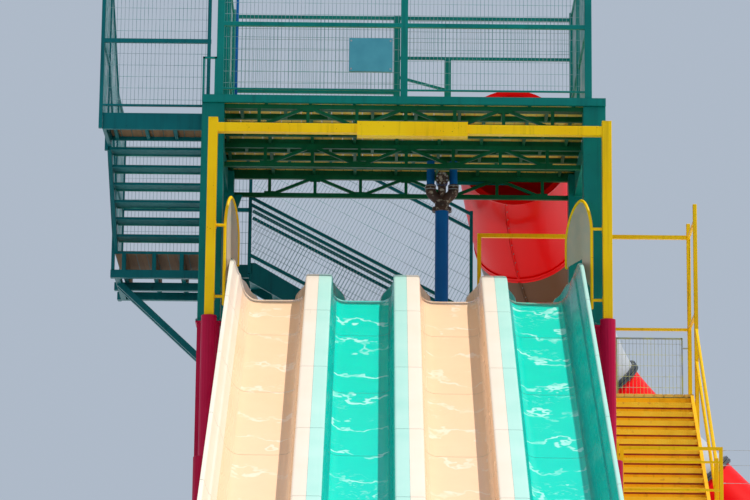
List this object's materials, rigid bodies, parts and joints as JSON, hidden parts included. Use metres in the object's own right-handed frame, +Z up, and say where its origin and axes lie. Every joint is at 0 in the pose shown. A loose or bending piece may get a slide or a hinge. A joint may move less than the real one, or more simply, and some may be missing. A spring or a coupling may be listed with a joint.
{
  "type": "water slide tower",
  "caption": "Free-standing water slide tower: a steel launch tower with a row of open lanes, an upper deck with a closed flume, and open stairs on both sides",
  "frame": {"origin": "middle of the footprint, on the ground", "axes": "+Z up, +Y away from the foot of the lanes, +X to the right as seen from that foot"},
  "size_m": [24.5986, 35.9122, 17.77],
  "materials": {
    "crimson_steel": "gloss crimson paint on steel",
    "green_steel": "gloss dark green paint on steel",
    "yellow_steel": "gloss yellow paint on steel",
    "tread_steel": "orange-yellow anti-slip paint on folded plate",
    "deck_boards": "weathered boards",
    "cream_moulding": "cream gelcoat, wet",
    "turquoise_moulding": "turquoise gelcoat, wet",
    "red_tube": "red gelcoat",
    "brown_tube": "dark brown gelcoat",
    "grey_tube": "grey gelcoat",
    "blue_steel": "blue paint on steel pipe",
    "dark_fitting": "dark painted fitting",
    "blank_panel": "plain blue sheet"
  },
  "bodies": {
    "root": {"back_flight": "green_steel", "back_flight_fence_far": "green_steel", "back_flight_fence_near": "green_steel", "blank_board": "blank_panel", "flume_1": "red_tube", "flume_2": "brown_tube", "flume_3": "red_tube", "flume_4": "grey_tube", "flume_5": "red_tube", "flume_6": "grey_tube", "flume_post_4": "crimson_steel", "flume_post_6": "crimson_steel", "gateway_frame": "yellow_steel", "lane_1": "cream_moulding", "lane_2": "turquoise_moulding", "lane_3": "cream_moulding", "lane_4": "turquoise_moulding", "launch_floor": "deck_boards", "launch_frame": "green_steel", "left_flight": "green_steel", "left_lower_landing": "green_steel", "left_stair_fence": "green_steel", "left_upper_landing": "green_steel", "lower_bracing_back": "crimson_steel", "lower_side_frame_left": "crimson_steel", "lower_side_frame_right": "crimson_steel", "platform_railing": "yellow_steel", "riser_fork": "dark_fitting", "run_out": "turquoise_moulding", "side_guard_left": "yellow_steel", "side_guard_right": "yellow_steel", "slide_bent_1": "crimson_steel", "slide_bent_2": "crimson_steel", "slide_bent_3": "crimson_steel", "slide_bent_4": "crimson_steel", "slide_underframe": "crimson_steel", "start_tubs": "turquoise_moulding", "truss_back": "green_steel", "truss_front": "green_steel", "truss_middle": "green_steel", "upper_deck_back_fence": "green_steel", "upper_deck_boards": "deck_boards", "upper_deck_fence": "green_steel", "upper_deck_frame": "green_steel", "upper_side_frame_left": "green_steel", "upper_side_frame_right": "green_steel", "water_riser": "blue_steel", "yellow_flight_1": "tread_steel", "yellow_flight_2": "tread_steel", "yellow_flight_3": "tread_steel", "yellow_flight_4": "tread_steel", "yellow_flight_5": "tread_steel", "yellow_landing_1": "yellow_steel", "yellow_landing_2": "yellow_steel", "yellow_landing_3": "yellow_steel", "yellow_landing_4": "yellow_steel", "yellow_side_inner": "yellow_steel", "yellow_side_middle": "yellow_steel", "yellow_side_outer": "yellow_steel"}
  },
  "joints": []
}
